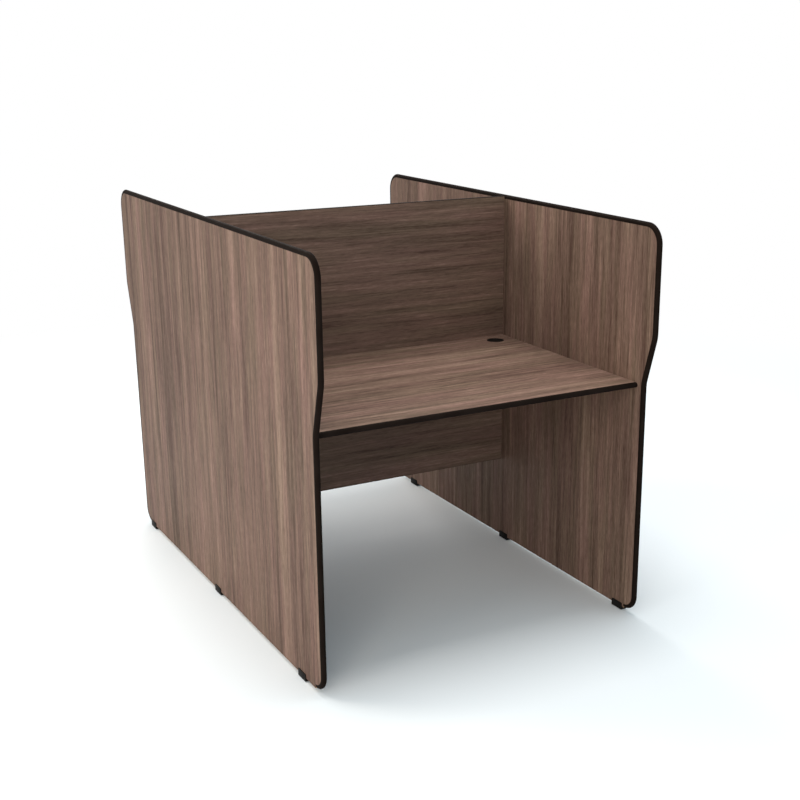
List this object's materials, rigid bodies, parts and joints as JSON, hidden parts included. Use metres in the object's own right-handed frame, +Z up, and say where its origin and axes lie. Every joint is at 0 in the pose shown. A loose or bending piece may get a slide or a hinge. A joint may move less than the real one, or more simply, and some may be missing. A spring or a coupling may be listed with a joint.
{
  "type": "telemarketing workstation",
  "caption": "Double-sided call station: two waisted side panels carry a centre screen and two desks that face each other, with cable grommets and levelling feet.",
  "frame": {"origin": "on the floor, at the centre of the footprint", "axes": "+Z up; the front desk is on the -Y side and the back desk on the +Y side; +X is to the right of someone who sits at the front desk"},
  "size_m": [1.065, 1.646, 1.21],
  "materials": {
    "panel_wood": "melamine-faced particleboard, grey-brown wood print, matt with a fine pore",
    "desk_wood": "melamine-faced particleboard, grey-brown wood print with the grain along the desk, matt",
    "black_profile": "black PVC, satin",
    "black_moulding": "black moulded ABS, satin with a fine texture",
    "zinc": "zinc-plated fittings",
    "beech": "raw fluted beech dowels"
  },
  "bodies": {
    "station": {"left_side_board": "panel_wood", "right_side_board": "panel_wood", "left_edge_profile": "black_profile", "right_edge_profile": "black_profile", "divider_board": "desk_wood", "divider_top_tape": "black_profile", "divider_bottom_tape": "black_profile", "front_desk_board": "desk_wood", "back_desk_board": "desk_wood", "front_desk_profile": "black_profile", "back_desk_profile": "black_profile", "front_grommet_liner": "black_moulding", "back_grommet_liner": "black_moulding", "left_front_shoe": "black_moulding", "left_middle_shoe": "black_moulding", "left_back_shoe": "black_moulding", "right_front_shoe": "black_moulding", "right_middle_shoe": "black_moulding", "right_back_shoe": "black_moulding", "leveller_nuts": "zinc", "shoe_screws": "zinc", "front_desk_cams": "zinc", "back_desk_cams": "zinc", "divider_cams": "zinc", "cam_bolts": "zinc", "through_bolts": "zinc", "desk_dowels": "beech", "divider_dowels": "beech", "through_dowels": "beech", "divider_cam_covers": "black_moulding"},
    "front_cap": {"front_grommet_cap": "black_moulding"},
    "back_cap": {"back_grommet_cap": "black_moulding"},
    "front_flap": {"front_grommet_flap": "black_moulding"},
    "back_flap": {"back_grommet_flap": "black_moulding"},
    "left_front_foot": {"left_front_leveller": "black_moulding"},
    "left_middle_foot": {"left_middle_leveller": "black_moulding"},
    "left_back_foot": {"left_back_leveller": "black_moulding"},
    "right_front_foot": {"right_front_leveller": "black_moulding"},
    "right_middle_foot": {"right_middle_leveller": "black_moulding"},
    "right_back_foot": {"right_back_leveller": "black_moulding"}
  },
  "joints": [
    {"name": "front_cap_turn", "type": "hinge", "parent": "station", "child": "front_cap", "pos_m": [0.447, -0.0695, 0.7385], "axis": [0, 0, 1], "continuous": true},
    {"name": "back_cap_turn", "type": "hinge", "parent": "station", "child": "back_cap", "pos_m": [-0.447, 0.0695, 0.7385], "axis": [0, 0, 1], "continuous": true},
    {"name": "front_flap_lift", "type": "hinge", "parent": "front_cap", "child": "front_flap", "pos_m": [0.447, -0.058, 0.7385], "axis": [1, 0, 0], "range_deg": [0, 95]},
    {"name": "back_flap_lift", "type": "hinge", "parent": "back_cap", "child": "back_flap", "pos_m": [-0.447, 0.058, 0.7385], "axis": [-1, 0, 0], "range_deg": [0, 95]},
    {"name": "left_front_level", "type": "slide", "parent": "station", "child": "left_front_foot", "axis": [0, 0, -1], "range_m": [0, 0.01]},
    {"name": "left_middle_level", "type": "slide", "parent": "station", "child": "left_middle_foot", "axis": [0, 0, -1], "range_m": [0, 0.01]},
    {"name": "left_back_level", "type": "slide", "parent": "station", "child": "left_back_foot", "axis": [0, 0, -1], "range_m": [0, 0.01]},
    {"name": "right_front_level", "type": "slide", "parent": "station", "child": "right_front_foot", "axis": [0, 0, -1], "range_m": [0, 0.01]},
    {"name": "right_middle_level", "type": "slide", "parent": "station", "child": "right_middle_foot", "axis": [0, 0, -1], "range_m": [0, 0.01]},
    {"name": "right_back_level", "type": "slide", "parent": "station", "child": "right_back_foot", "axis": [0, 0, -1], "range_m": [0, 0.01]}
  ]
}
